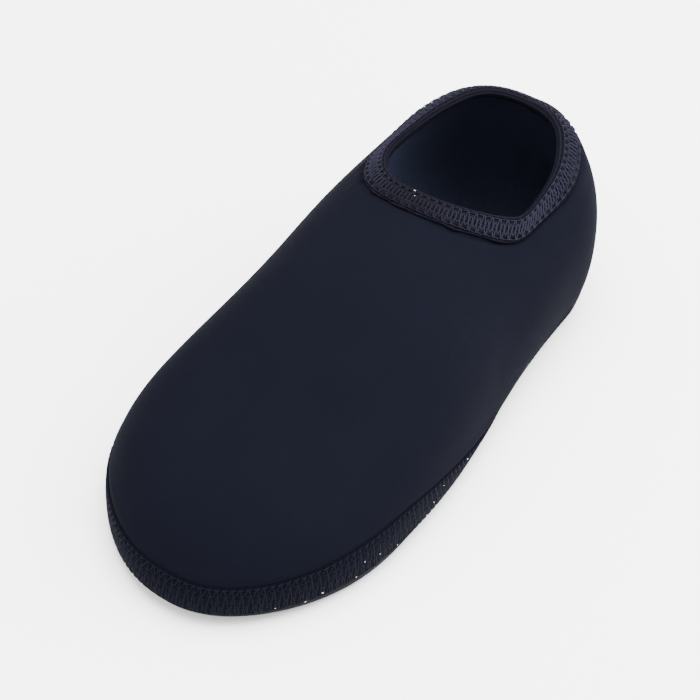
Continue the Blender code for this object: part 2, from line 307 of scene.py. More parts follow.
# %% The skin, and points at a length down it
Skin = namedtuple("Skin", "angles points normals lengths seam band edge end")


def middle_of(corners):
    """The middle of a box's two corners."""
    return (np.array(corners[0]) + np.array(corners[1])) / 2


outline = widest_line(np.linspace(0, 2 * np.pi, 721))
upper_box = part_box("upper")
SHIFT = np.array([
    upper_box[0][0] - outline[:, 0].min(),
    middle_of(upper_box)[1] - (outline[:, 1].min() + outline[:, 1].max()) / 2,
    0,
])


def skin(angles):
    """The outside at these angles.

    The outward direction is the cross product of the steps down and round. The seam's place is the
    length at which the profile has come down to the seam's height.
    """
    points = profiles(angles)
    round_step = profiles(angles + TURN_STEP) - profiles(angles - TURN_STEP)
    normals = np.cross(np.gradient(points, axis=0), round_step)
    normals[EDGE_ROW:] = 0, 0, -1
    normals /= np.linalg.norm(normals, axis=-1, keepdims=True)
    steps = np.linalg.norm(np.diff(points, axis=0), axis=-1)
    lengths = np.concatenate([np.zeros((1, len(angles))), np.cumsum(steps, axis=0)])
    height = seam_height(angles)
    above = np.minimum.accumulate(points[..., 2], axis=0) > height
    row, column = above.sum(axis=0) - 1, np.arange(len(angles))
    high, low = points[row, column, 2], points[row + 1, column, 2]
    share = (high - height) / (high - low)
    seam = lengths[row, column] + share * (lengths[row + 1, column] - lengths[row, column])
    band = section("band", widest_line(angles)[:, 0]) * SEAM_WIDTH / 2
    return Skin(angles, points, normals, lengths, seam, band, lengths[EDGE_ROW], lengths[-1])


def on_skin(base, distance, lift):
    """Points and outward directions at these lengths from the collar, lifted off the skin.

    Distance and lift have a row for each line and a column for each angle. The row above each
    length is counted, and the point is mixed from that row and the next by the share between.
    """
    distance = np.clip(distance, 0, base.end)
    lift = np.broadcast_to(lift, distance.shape)
    row = (base.lengths[None] <= distance[:, None]).sum(axis=1) - 1
    row = np.clip(row, 0, len(base.lengths) - 2)
    column = np.arange(len(base.angles))[None]
    first, last = base.lengths[row, column], base.lengths[row + 1, column]
    share = ((distance - first) / (last - first))[..., None]
    normals = base.normals[row, column] * (1 - share) + base.normals[row + 1, column] * share
    normals /= np.linalg.norm(normals, axis=-1, keepdims=True)
    points = base.points[row, column] * (1 - share) + base.points[row + 1, column] * share
    return points + lift[..., None] * normals + SHIFT, normals


def seam_line(angles):
    """The middle of the sole's seam."""
    base = skin(angles)
    return on_skin(base, base.seam[None], 0)[0][0]


Loop = namedtuple("Loop", "turns arc total")


def measured(line):
    """A closed line of the shoe with its length, to cut it into equal steps."""
    turns = np.linspace(0, 2 * np.pi, 1441)
    steps = np.linalg.norm(np.diff(line(turns), axis=0), axis=1)
    arc = np.concatenate([[0], np.cumsum(steps)])
    return Loop(turns, arc, arc[-1])


def even_angles(loop, count):
    """Angles that cut the loop into equal lengths."""
    return np.interp(np.arange(count) / count * loop.total, loop.arc, loop.turns)


collar_loop, seam_loop = measured(collar_line), measured(seam_line)
print("skin moved by", np.round(SHIFT / MM, 2), "mm")
print("collar", round(collar_loop.total / MM), "mm, sole seam", round(seam_loop.total / MM), "mm round")

# %% [markdown]
# ## From a grid of points to a mesh
#
# A grid of points becomes four-sided faces by index arithmetic alone, and foreach_set hands the
# arrays to Blender in one go. The same helper writes a UV map in millimetres, so that a weave or a
# knit keeps its real size wherever it lies.

# %% Meshes from grids
Pattern = namedtuple("Pattern", "round down")
WELD = 0.002 * MM


def grid_faces(rows, columns, wrap_rows, wrap_columns):
    """Corner numbers of the faces between neighbouring points, round the grid where it wraps."""
    row, column = np.meshgrid(
        np.arange(rows if wrap_rows else rows - 1),
        np.arange(columns if wrap_columns else columns - 1),
        indexing="ij",
    )
    below, after = row + 1, column + 1
    corners = [(row, column), (below, column), (below, after), (row, after)]
    return np.stack([np.stack(corner, axis=-1) for corner in corners], axis=2).reshape(-1, 4, 2)


def add_piece(name, points, faces, uv=None, corners=None, pits=None, materials=(), slots=None, weld=False):
    """A mesh object at the origin from arrays of points, faces, a UV for each corner and painted shade."""
    mesh = bpy.data.meshes.new(name)
    sides = faces.shape[1]
    mesh.vertices.add(len(points))
    mesh.vertices.foreach_set("co", points.astype(np.float32).ravel())
    mesh.loops.add(faces.size)
    mesh.loops.foreach_set("vertex_index", faces.astype(np.int32).ravel())
    mesh.polygons.add(len(faces))
    mesh.polygons.foreach_set("loop_start", np.arange(0, faces.size, sides, dtype=np.int32))
    mesh.update(calc_edges=True)
    if uv is not None:
        layer = mesh.uv_layers.new(name="cloth")
        layer.data.foreach_set("uv", uv.astype(np.float32).reshape(-1, 2)[corners].ravel())
    if pits is not None:
        pit = mesh.attributes.new("pit", "FLOAT", "POINT")
        pit.data.foreach_set("value", pits.astype(np.float32).ravel())
    for made_of in materials:
        mesh.materials.append(made_of)
    if slots is not None:
        mesh.polygons.foreach_set("material_index", slots.astype(np.int32))
    if weld:
        shape = bmesh.new()
        shape.from_mesh(mesh)
        bmesh.ops.remove_doubles(shape, verts=shape.verts, dist=WELD)
        shape.to_mesh(mesh)
        shape.free()
    mesh.validate()
    mesh.shade_smooth()
    piece = bpy.data.objects.new(name, mesh)
    bpy.context.scene.collection.objects.link(piece)
    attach(piece, "root")
    print(name, len(piece.data.polygons), "faces")
    return piece


def add_grid(name, points, pattern=None, wrap_rows=False, wrap_columns=True, **options):
    """A piece from a grid. Its pattern's values have one more row or column where the grid wraps."""
    rows, columns = points.shape[:2]
    place = grid_faces(rows, columns, wrap_rows, wrap_columns)
    faces = place[..., 0] % rows * columns + place[..., 1] % columns
    if pattern is None:
        return add_piece(name, points.reshape(-1, 3), faces, **options)
    uv = np.stack(np.broadcast_arrays(pattern.round, pattern.down), axis=-1) / MM
    corners = (place[..., 0] * uv.shape[1] + place[..., 1]).ravel()
    return add_piece(name, points.reshape(-1, 3), faces, uv=uv, corners=corners, **options)


# %% [markdown]
# ## Small forms along a line
#
# Cloth is never quite even. Ripples made of a few whole waves round the shoe give that unevenness
# and still close on themselves, and a bell curve makes each soft trough, ridge or needle hole. A
# form is a bell with its height, its place and its width in millimetres.

# %% Ripples, bells and forms
Form = namedtuple("Form", "height place width")


def bell(distance, width):
    """exp(-(distance / width)^2): 1 in the middle, almost 0 two widths away."""
    return np.exp(-((distance / width) ** 2))


def relief(distance, form):
    """height * bell of (distance - place) over the width, from millimetres to metres."""
    return form.height * MM * bell(distance - form.place * MM, form.width * MM)


def ripple(turn, waves):
    """A sum of sines round the shoe. Each wave is its count of whole turns, its share and its start."""
    return sum(share * np.sin(count * turn + start) for count, share, start in waves)


def step_up(value, low, high):
    """3t^2 - 2t^3 between low and high: 0 before, 1 after, level at both ends."""
    t = np.clip((value - low) / (high - low), 0, 1)
    return t * t * (3 - 2 * t)


# %% [markdown]
# ## Colours and nodes
#
# Colours are picked as sRGB hex values, as a designer reads them off a swatch, and the shader
# wants them linear. One function converts them, and one adds a shader node with its settings and
# its links.

# %% Colour and node helpers


def linear(swatch):
    """An sRGB hex colour as a linear RGBA one, by the sRGB curve."""
    value = np.array([int(swatch[i : i + 2], 16) for i in (1, 3, 5)]) / 255
    channels = np.where(value <= 0.04045, value / 12.92, ((value + 0.055) / 1.055) ** 2.4)
    return (*channels.tolist(), 1.0)


def node(tree, kind, inputs=None, **settings):
    """A new shader node. Each input is a plain value, or another node's output socket to link."""
    made = tree.nodes.new("ShaderNode" + kind)
    for key, value in settings.items():
        setattr(made, key, value)
    for key, value in (inputs or {}).items():
        if isinstance(value, bpy.types.NodeSocket):
            tree.links.new(value, made.inputs[key])
        else:
            made.inputs[key].default_value = value
    return made


def start_material(name, **finish):
    """A new material with its Principled shader's plain values set, and its tree and shader."""
    made = bpy.data.materials.new(name)
    made.use_nodes = True
    shader = made.node_tree.nodes["Principled BSDF"]
    for key, value in finish.items():
        shader.inputs[key.replace("_", " ").title().replace("Ior", "IOR")].default_value = value
    return made, made.node_tree, shader


def dress(tree, shader, **links):
    """Links outputs to the shader's inputs."""
    for key, socket in links.items():
        tree.links.new(socket, shader.inputs[key.replace("_", " ").title()])


# %% [markdown]
# ## Neoprene with a nylon jersey face
#
# Wetsuit cloth is a sheet of foamed rubber with a fine nylon knit glued to it. The knit gives the
# eye a matt, slightly velvety navy with no gloss, and, close up, columns of small V-shaped
# stitches. The stitches are about half a millimetre wide on the real cloth, too fine for the
# picture, so they are drawn 0.9 mm wide. Clouds about 26 mm across vary the tone a little, as dye
# does, and a fuzz of 0.7 mm stands for the nap.

# %% Knit height and neoprene materials
# Width and height of a stitch, in millimetres of the UV map.
WALE, COURSE = 0.9, 0.8
CLOUD, FUZZ = 26.32 * MM, 0.7143 * MM
NAVY, NAVY_LIGHT, NAVY_DEEP = "#07080e", "#0b0c14", "#050509"


def knit_height(tree, wale, course):
    """Height of a jersey face from the UV map, in millimetres.

    Across a wale, a sine gives the column. Down it, a second sine whose start grows with the way
    from the column's middle tips the stitches into Vs. The height is their product.
    """
    uv = node(tree, "UVMap", uv_map="cloth")
    axes = node(tree, "SeparateXYZ", {0: uv.outputs["UV"]})
    across = node(tree, "Math", {0: axes.outputs["X"], 1: 1 / wale}, operation="MULTIPLY")
    from_edge = node(tree, "Math", {0: across.outputs[0], 1: 0.5}, operation="PINGPONG")
    column = node(tree, "Math", {0: from_edge.outputs[0], 1: 2 * np.pi}, operation="MULTIPLY")
    column = node(tree, "Math", {0: column.outputs[0]}, operation="SINE")
    down = node(tree, "Math", {0: axes.outputs["Y"], 1: 1 / course}, operation="MULTIPLY")
    tipped = node(
        tree, "Math", {0: from_edge.outputs[0], 1: 1.4, 2: down.outputs[0]}, operation="MULTIPLY_ADD",
    )
    phase = node(tree, "Math", {0: tipped.outputs[0], 1: 2 * np.pi}, operation="MULTIPLY")
    course_wave = node(tree, "Math", {0: phase.outputs[0]}, operation="SINE")
    lifted = node(tree, "Math", {0: course_wave.outputs[0], 1: 0.35, 2: 0.65}, operation="MULTIPLY_ADD")
    height = node(tree, "Math", {0: column.outputs[0], 1: lifted.outputs[0]}, operation="MULTIPLY")
    return height.outputs[0]


def with_painted_shade(tree, colour):
    """The colour, mixed towards black by the attribute of painted shade, which is 0 on a mesh without one.

    It paints shade: dark needle holes, dark grooves beside the bands, a lining darker towards the heel
    and thread darker at the throat.
    """
    pit = node(tree, "Attribute", attribute_name="pit")
    black = linear("#010102")
    mixed = node(tree, "Mix", {0: pit.outputs["Fac"], 6: colour, 7: black}, data_type="RGBA")
    return mixed.outputs[2]


def jersey(name, swatch, light, deep, sheen):
    """Nylon jersey bonded to foam: dark between the stitches, lighter on them, with soft clouds."""
    made, tree, shader = start_material(
        name, roughness=0.9, ior=1.3, sheen_weight=sheen, sheen_roughness=0.5,
        sheen_tint=linear("#8f93b8"), specular_ior_level=0.03,
    )
    height = knit_height(tree, WALE, COURSE)
    place = node(tree, "TexCoord").outputs["Object"]
    clouds = node(tree, "TexNoise", {"Vector": place, "Scale": 1 / CLOUD, "Detail": 3.0, "Roughness": 0.55})
    fuzz = node(tree, "TexNoise", {"Vector": place, "Scale": 1 / FUZZ, "Detail": 2.0, "Roughness": 0.7})
    tone = node(tree, "Math", {0: fuzz.outputs["Fac"], 1: 0.5, 2: height}, operation="MULTIPLY_ADD")
    stitch = node(tree, "Mix", {0: tone.outputs[0], 6: linear(deep), 7: linear(light)}, data_type="RGBA")
    cloud = node(
        tree, "MapRange",
        {"Value": clouds.outputs["Fac"], "From Min": 0.3, "From Max": 0.7, "To Min": 0.2, "To Max": 0.6},
    )
    colour = node(
        tree, "Mix", {0: cloud.outputs[0], 6: stitch.outputs[2], 7: linear(swatch)}, data_type="RGBA",
    )
    bump = node(tree, "Bump", {"Height": tone.outputs[0], "Distance": 0.12 * MM, "Strength": 0.55})
    dress(tree, shader, base_color=with_painted_shade(tree, colour.outputs[2]), normal=bump.outputs["Normal"])
    return made


jersey_face = jersey("Nylon jersey on neoprene", NAVY, NAVY_LIGHT, NAVY_DEEP, 0.004)
jersey_lining = jersey("Jersey lining", "#3b3f54", "#484d66", "#2a2d3e", 0.01)

# %% [markdown]
# ## The upper
#
# The upper is one sheet of foam, 2.5 mm thick, with a face and a lining. It is drawn as one closed
# wall: down the outside from the collar to the sole's seam, and back up the inside. It could be a
# plain lofted wall with a bump map, but the soft forms have to show in the outline, so they are in
# the mesh: the foam swells a little beside each stitched band, gathers under the elastic, and has
# a few shallow troughs where the shoe flexes. Shade is painted into the face in the groove under the
# tape and along the seam band's upper edge, and into the lining, darker towards the heel and
# palest towards the throat.

# %% Soft troughs, listed one by one
Crease = namedtuple("Crease", "from_x from_y from_z to_x to_y to_z width depth")
# Ends in millimetres in the last's own frame: from the heel, to the outer side, and up.
CREASES = (
    Crease(92, -26, 66, 98, 18, 68, 9, 0.45),
    Crease(118, -40, 44, 128, -8, 68, 10, 0.35),
    Crease(70, 44, 52, 108, 50, 34, 9, 0.5),
    Crease(40, 46, 50, 66, 44, 60, 7, 0.35),
    Crease(60, -46, 40, 100, -44, 46, 9, 0.45),
    Crease(24, -34, 58, 52, -44, 48, 7, 0.3),
    Crease(168, -30, 46, 176, 30, 40, 12, 0.3),
)


def troughs(points):
    """The sum of the troughs, each a bell curve of the way to a straight line in space."""
    depth = np.zeros(points.shape[:-1])
    for crease in CREASES:
        ends = np.array(crease[:6]).reshape(2, 3) * MM + SHIFT
        line = ends[1] - ends[0]
        along = np.clip((points - ends[0]) @ line / (line @ line), 0, 1)
        away = np.linalg.norm(points - ends[0] - along[..., None] * line, axis=-1)
        depth += crease.depth * MM * bell(away, crease.width * MM)
    return depth


# %% How the cloth lies along the shoe
CROWN_STEPS, ARCH_STEPS = 400, 24


def cloth_pattern(base, distance):
    """UV of the jersey: along the crown line, and across the section from the ridge to the point.

    The way along is the crown line's length up to the point's x. The way across is the length of
    the section's arch, summed over short steps, and below the widest line the profile's own length.
    """
    points = on_skin(base, distance, 0)[0] - SHIFT
    points = np.concatenate([points, points[:, :1]], axis=1)
    x, y = points[..., 0], points[..., 1]
    stations = np.linspace(0, LENGTH, CROWN_STEPS)
    rise = np.hypot(np.diff(stations), np.diff(crown_height(stations)))
    along = np.interp(x, stations, np.concatenate([[0], np.cumsum(rise)]))
    ridge = plan(x)[2]
    cuts = ridge + (y - ridge) * np.linspace(0, 1, ARCH_STEPS)[:, None, None]
    arch = np.hypot(np.diff(cuts, axis=0), np.diff(roof(x[None], cuts), axis=0)).sum(axis=0)
    below = np.clip(distance - base.lengths[WIDEST_ROW], 0, None)
    below = np.concatenate([below, below[:, :1]], axis=1)
    return Pattern(along, np.sign(y - ridge) * (arch + below))


# %% Rows of the upper, from the collar down
AROUND = 400
TAPED_ROWS, SIDE_ROWS, LOW_ROWS = 8, 60, 22
UNDER_TAPE = BINDING_WIDTH - 1 * MM
NEAR_SEAM = 8 * MM
upper_skin = skin(even_angles(measured(widest_line), AROUND))
near_seam = upper_skin.seam - upper_skin.band - NEAR_SEAM
outside = np.concatenate([
    np.linspace(0, 1, TAPED_ROWS)[:-1, None] * UNDER_TAPE * np.ones(AROUND),
    UNDER_TAPE + np.linspace(0, 1, SIDE_ROWS)[:-1, None] * (near_seam - UNDER_TAPE),
    near_seam + np.linspace(0, 1, LOW_ROWS)[:, None] * (upper_skin.seam - near_seam),
])
lining = outside[::-3]
print("rows outside", len(outside), "and inside", len(lining))

# %% Swells, gathers and grooves of the upper's face
# Placed from the tape's lower edge, downwards.
GATHER, SWELL, NIP = Form(0.28, 1, 6), Form(0.35, 3.5, 2.6), Form(-0.45, 0, 1.2)
# Placed from the seam's upper edge, upwards.
LIP, GROOVE = Form(0.3, 3, 2.2), Form(-0.12, 0, 1)
UNEVEN = ((7, 0.5, 0.4), (16, 0.4, 1.9), (27, 0.3, 0.2))
FLAT_BY_SEAM = 12 * MM


def upper_relief(base, distance):
    """Height of the face over the plain skin: the sum of its forms, less the troughs."""
    past_binding = distance - BINDING_WIDTH
    to_seam = base.seam - base.band - distance
    gather = ripple(base.angles, UNEVEN) * relief(past_binding, GATHER)
    swell = relief(past_binding, SWELL) + relief(past_binding, NIP)
    at_seam = relief(to_seam, LIP) + relief(to_seam, GROOVE)
    fade = step_up(past_binding, -1 * MM, 1 * MM)
    sunk = troughs(on_skin(base, distance, 0)[0]) * step_up(to_seam, 0, FLAT_BY_SEAM)
    return fade * (gather + swell) + at_seam - sunk


# %% The wall of the upper
LINING_TROUGHS = 0.6
# Painted shade on the lining: how dark it is at the heel, and the span in x over which it fades out.
LINING_SHADE, SHADED_TO_LIT = 0.72, (-114 * MM, -78 * MM)
TAPE_SHADE, SEAM_SHADE, SHADE_WIDTH = 0.75, 0.12, 0.9 * MM
face = on_skin(upper_skin, outside, upper_relief(upper_skin, outside))[0]
lining_sunk = LINING_TROUGHS * troughs(on_skin(upper_skin, lining, 0)[0])
back_face = on_skin(upper_skin, lining, -WALL - lining_sunk)[0]
wall = np.concatenate([face, back_face])
distances = np.concatenate([outside, lining])
pattern = cloth_pattern(upper_skin, np.concatenate([distances, outside[:1]]))
row_of_face = grid_faces(len(wall), AROUND, True, True)[:, 0, 0]
# Painted shade: the face is darkened in the groove below the tape's edge and along the seam band's upper
# edge, and the lining towards the heel.
tape_edge_shade = TAPE_SHADE * bell(outside - BINDING_WIDTH, SHADE_WIDTH)
seam_edge_shade = SEAM_SHADE * bell(upper_skin.seam - upper_skin.band - outside, SHADE_WIDTH)
lining_shade = LINING_SHADE * (1 - step_up(back_face[..., 0], *SHADED_TO_LIT))
upper = add_grid(
    "neoprene_upper", wall, pattern, wrap_rows=True,
    pits=np.concatenate([tape_edge_shade + seam_edge_shade, lining_shade]), materials=(jersey_face, jersey_lining),
    slots=(row_of_face >= len(outside)).astype(int),
)
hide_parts("upper")
print("upper from", np.round(wall.min(axis=(0, 1)) / MM, 1), "to", np.round(wall.max(axis=(0, 1)) / MM, 1))

# %% [markdown]
# ## Elastic binding
#
# The collar is bound with fold-over elastic: a nylon tape 22 mm wide, folded over the cut edge and
# stitched through. It gives the eye fine ribs along its length, a rolled rim and a wavy lower edge
# where the stretch relaxes. One rounded path goes up the inside, over the edge and down the
# outside, and the ends of the tape overlap at the back.

# %% Tape material
# Pitch of the ribs and of the picks across them, in millimetres, and the size of the fuzz.
RIB, PICK = 1.1, 0.7
TAPE_FUZZ = 1.111 * MM


def ribbed_tape(name, swatch, light):
    """Woven elastic: a sine across the tape gives the ribs, and a finer one along them the picks."""
    made, tree, shader = start_material(
        name, roughness=0.75, ior=1.3, sheen_weight=0.008, sheen_roughness=0.4,
        sheen_tint=linear("#9a94b4"), specular_ior_level=0.05,
    )
    uv = node(tree, "UVMap", uv_map="cloth")
    axes = node(tree, "SeparateXYZ", {0: uv.outputs["UV"]})
    across = node(tree, "Math", {0: axes.outputs["Y"], 1: 2 * np.pi / RIB}, operation="MULTIPLY")
    rib = node(tree, "Math", {0: across.outputs[0]}, operation="SINE")
    along = node(tree, "Math", {0: axes.outputs["X"], 1: 2 * np.pi / PICK}, operation="MULTIPLY")
    pick = node(tree, "Math", {0: along.outputs[0]}, operation="SINE")
    picked = node(tree, "Math", {0: pick.outputs[0], 1: 0.35, 2: 0.65}, operation="MULTIPLY_ADD")
    weave = node(tree, "Math", {0: rib.outputs[0], 1: picked.outputs[0]}, operation="MULTIPLY")
    place = node(tree, "TexCoord").outputs["Object"]
    fuzz = node(
        tree, "TexNoise", {"Vector": place, "Scale": 1 / TAPE_FUZZ, "Detail": 3.0, "Roughness": 0.7},
    )
    tone = node(
        tree, "Math", {0: weave.outputs[0], 1: 0.5, 2: fuzz.outputs["Fac"]}, operation="MULTIPLY_ADD",
    )
    colour = node(tree, "Mix", {0: tone.outputs[0], 6: linear(swatch), 7: linear(light)}, data_type="RGBA")
    bump = node(tree, "Bump", {"Height": tone.outputs[0], "Distance": 0.3 * MM, "Strength": 0.9})
    dress(tree, shader, base_color=with_painted_shade(tree, colour.outputs[2]), normal=bump.outputs["Normal"])
    return made


elastic = ribbed_tape("Fold-over elastic", "#020204", "#0e0d16")
# A darker copy of the same tape for the inner leg and the start of the fold: painted shade inside the collar.
elastic_in_shade = ribbed_tape("Fold-over elastic, painted shade inside", "#030304", "#06060a")

# %% The folded tape
BINDING_PITCH = 3.1 * MM
BINDING_ROWS = (0.6 * MM, 4.5 * MM, 8.4 * MM)
HOLE_WIDTH, HOLE_DEPTH = 0.75 * MM, 0.45 * MM
OVERLAP, OVERLAP_RISE = 7 * MM, 0.45 * MM
FOLD_PINCH = 0.7 * MM
LEG_ROWS, FOLD_ROWS = 30, 10
WAVY_EDGE, WAVY = 0.35 * MM, ((9, 0.6, 0.2), (14, 0.5, 2.0), (23, 0.3, 1.1))


def stitch_count(loop, pitch):
    """Whole stitches round a loop, as near to the pitch as they fit."""
    return round(loop.total / pitch)


def at_stitch(base, loop, pitch):
    """How many stitches each column lies from the toe end of the loop."""
    arc = np.interp(base.angles, loop.turns, loop.arc)
    return arc / loop.total * stitch_count(loop, pitch)


def needle_holes(stitch, pitch, distance, rows, width):
    """Small bells, 1 deep, at every whole stitch on each row."""
    along = (stitch - np.round(stitch)) * pitch
    return bell(along, width) * sum(bell(distance - row, width) for row in rows)


def folded_tape(base, rise):
    """A face of the tape at this height over the wall, from its inner edge over the fold to its outer.

    The wall's middle is the axis: the face stands half a wall and its own height off it, square to
    the wall on both legs and turning half round at the fold.
    """
    legs = np.linspace(0, 1, LEG_ROWS)[:, None]
    outer = legs * (BINDING_WIDTH + WAVY_EDGE * ripple(base.angles, WAVY))
    inner = legs[::-3] * BINDING_WIDTH * np.ones(len(base.angles))
    outer_at, outer_out = on_skin(base, outer, -WALL / 2)
    inner_at, inner_out = on_skin(base, inner, -WALL / 2)
    turns = np.linspace(0, np.pi, FOLD_ROWS + 2)[1:-1, None, None]
    out = outer_out[:1]
    up = base.points[0] - base.points[1]
    up = up - out[0] * np.sum(out[0] * up, axis=-1, keepdims=True)
    up /= np.linalg.norm(up, axis=-1, keepdims=True)
    fold_out = np.sin(turns) * up - np.cos(turns) * out
    centre = np.concatenate([inner_at, np.broadcast_to(outer_at[:1], fold_out.shape), outer_at])
    direction = np.concatenate([-inner_out, fold_out, outer_out])
    fold_way = (turns[:, 0] - np.pi / 2) * (WALL / 2)
    fold_way = np.broadcast_to(fold_way, (len(fold_way), len(base.angles)))
    quarter = np.pi / 2 * WALL / 2
    across = np.concatenate([-quarter - inner, fold_way, quarter + outer])
    return centre + direction * (WALL / 2 + rise(across - quarter))[..., None], across


def tape_holes(distance):
    """Where the three needles have gone through the tape."""
    stitch = at_stitch(tape_skin, collar_loop, BINDING_PITCH)
    return needle_holes(stitch, BINDING_PITCH, distance, BINDING_ROWS, HOLE_WIDTH)


RIB_HEIGHT = 0.05 * MM
THIN_EDGE = Form(-0.45, BINDING_WIDTH / MM, 0.5)
SEWN_DOWN = tuple(Form(-0.15, row / MM, 0.8) for row in BINDING_ROWS)
EASE, EASED = 0.22 * MM, ((11, 0.6, 0.7), (19, 0.5, 0.1))


def tape_rise(distance):
    """Height of the tape's face: ribs, thin edges, needle holes, ease of the cloth and the overlap."""
    ribs = RIB_HEIGHT * np.sin(2 * np.pi * distance / (RIB * MM))
    sewn_in = sum(relief(distance, form) for form in (THIN_EDGE, *SEWN_DOWN))
    holes = HOLE_DEPTH * tape_holes(distance)
    pinch = FOLD_PINCH * step_up(-distance, -1.5 * MM, 2.5 * MM)
    loose = step_up(distance, 1 * MM, 9 * MM)
    ease = EASE * ripple(tape_skin.angles, EASED) * loose
    from_back = np.interp(tape_skin.angles, collar_loop.turns, collar_loop.arc) - collar_loop.total / 2
    begins = step_up(from_back, -OVERLAP, -OVERLAP + 1 * MM)
    lapped = OVERLAP_RISE * begins * (1 - step_up(from_back, OVERLAP - 4 * MM, OVERLAP))
    return CLEARANCE + BINDING_THICK + ribs + sewn_in - holes - pinch + ease + lapped


# %% The tape's wall
TAPE_AROUND, INNER_ROWS = 480, 13
tape_skin = skin(even_angles(collar_loop, TAPE_AROUND))
tape_face, across = folded_tape(tape_skin, tape_rise)
tape_back, _ = folded_tape(tape_skin, lambda distance: CLEARANCE / 2 + 0 * distance)
tape = np.concatenate([tape_face, tape_back[::-1]])
# Painted shade in the needle holes: they darken the tape's colour through the shade attribute.
holes = np.clip(tape_holes(across - np.pi / 4 * WALL), 0, 1)
round_collar = np.linspace(0, collar_loop.total, TAPE_AROUND + 1)
across = np.concatenate([across, across[::-1], across[:1]])
across = np.concatenate([across, across[:, :1]], axis=1)
# The inner rows take the darker copy of the tape, painted shade.
inside_rows = grid_faces(len(tape), TAPE_AROUND, True, True)[:, 0, 0] < INNER_ROWS
binding = add_grid(
    "elastic_binding", tape, Pattern(round_collar[None], across), wrap_rows=True,
    pits=np.concatenate([holes, 0 * holes]), materials=(elastic, elastic_in_shade),
    slots=inside_rows.astype(int),
)
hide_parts("collar_binding")

# %% [markdown]
# ## Stitching as real thread
#
# The bands are sewn with polyester thread: straight needle lines that dive into their holes, and
# cover threads that run to and fro between them. Seen from a step away they make the ladder and
# dots of the seam, and they give the shoe's edge its tiny bumps. A bump map would lose those, so
# each thread is a tube carried along its path, joined into one mesh for each seam.

# %% Thread material and tubes
FLECK = 0.4545 * MM
THREAD_SIDES, THREAD_STEPS = 5, 13


def spun_thread(name, swatch, light):
    """Textured polyester: slightly lustrous, with a fine fleck where the plies twist."""
    made, tree, shader = start_material(
        name, roughness=0.7, ior=1.4, sheen_weight=0.015, sheen_roughness=0.35,
        sheen_tint=linear("#a5a3bf"), specular_ior_level=0.06,
    )
    place = node(tree, "TexCoord").outputs["Object"]
    noise = node(tree, "TexNoise", {"Vector": place, "Scale": 1 / FLECK, "Detail": 2.0, "Roughness": 0.6})
    fleck = noise.outputs["Fac"]
    colour = node(tree, "Mix", {0: fleck, 6: linear(swatch), 7: linear(light)}, data_type="RGBA")
    bump = node(tree, "Bump", {"Height": fleck, "Distance": 0.08 * MM, "Strength": 0.5})
    dress(tree, shader, base_color=with_painted_shade(tree, colour.outputs[2]), normal=bump.outputs["Normal"])
    return made


polyester = spun_thread("Textured polyester thread", "#09090f", "#201f2d")
seam_polyester = spun_thread("Textured polyester thread, darker", "#05050a", "#0d0d18")


def tube(path, normals, radius, closed):
    """Rings round a path: centre + radius (cos a * side + sin a * up), side square to path and skin."""
    if closed:
        tangent = np.roll(path, -1, axis=0) - np.roll(path, 1, axis=0)
    else:
        tangent = np.gradient(path, axis=0)
    tangent /= np.linalg.norm(tangent, axis=1, keepdims=True)
    side = np.cross(tangent, normals)
    side /= np.linalg.norm(side, axis=1, keepdims=True)
    up = np.cross(side, tangent)
    turns = np.arange(THREAD_SIDES) / THREAD_SIDES * 2 * np.pi
    ring = np.cos(turns)[:, None] * side[:, None] + np.sin(turns)[:, None] * up[:, None]
    return path[:, None] + np.broadcast_to(radius, len(path))[:, None, None] * ring


def add_tubes(name, tubes, closed, made_of, pits=None):
    """One mesh from several tubes, with painted shade for each of their points where it is given."""
    points, faces, first = [], [], 0
    for rings in tubes:
        rows, columns = rings.shape[:2]
        place = grid_faces(rows, columns, closed, True)
        faces.append(first + place[..., 0] % rows * columns + place[..., 1] % columns)
        points.append(rings.reshape(-1, 3))
        first += rows * columns
    piece = add_piece(name, np.concatenate(points), np.concatenate(faces), pits=pits, materials=(made_of,))
    return piece


# %% Ways of the thread
FLAT_ENDS, DIVE_WIDTH = 1.5, 0.16


def ladder(stitch):
    """To and fro once a stitch, with flat ends: a triangle wave of FLAT_ENDS, cut off at -1 and 1."""
    triangle = 2 * np.abs(2 * (stitch - np.floor(stitch + 0.5))) - 1
    return np.clip(FLAT_ENDS * triangle, -1, 1)


def dive(stitch, height, depth):
    """Height of a needle thread: level on the cloth, down into the hole at each whole stitch."""
    return height - (height + depth) * bell(stitch - np.round(stitch), DIVE_WIDTH)


def sewn(loop, pitch):
    """The skin at every point of the threads round a loop, and the stitch that each point is in."""
    count = stitch_count(loop, pitch)
    stitch = np.arange(count * THREAD_STEPS) / THREAD_STEPS
    base = skin(np.interp(stitch / count * loop.total, loop.arc, loop.turns))
    return base, stitch


def closed_threads(base, paths):
    """A closed tube for each path of way down, lift off the skin and radius."""
    threads = []
    for down, lift, radius in paths:
        points, normals = on_skin(base, down[None], lift[None])
        threads.append(tube(points[0], normals[0], radius, True))
    return threads


# %% Stitches of the binding
NEEDLE, COVER_THREAD = 0.2 * MM, 0.26 * MM
# A cover thread's middle and reach are shares of a half width: between the outer needle lines on
# the binding, and the band's own on the two seams. Its start is in stitches.
Cover = namedtuple("Cover", "middle reach start height")
FACE_COVERS = (Cover(0, 1, 0.2, 0.14 * MM), Cover(0, 0.55, 0.7, 0.08 * MM))
LINING_COVER = Cover(0, 0.9, 0.45, 0.12 * MM)
# Painted shade on the thread: darkest at the throat, fading round the sides to none at the heel.
THREAD_SHADE, THREAD_SHADE_WIDTH = 0.7, 0.5

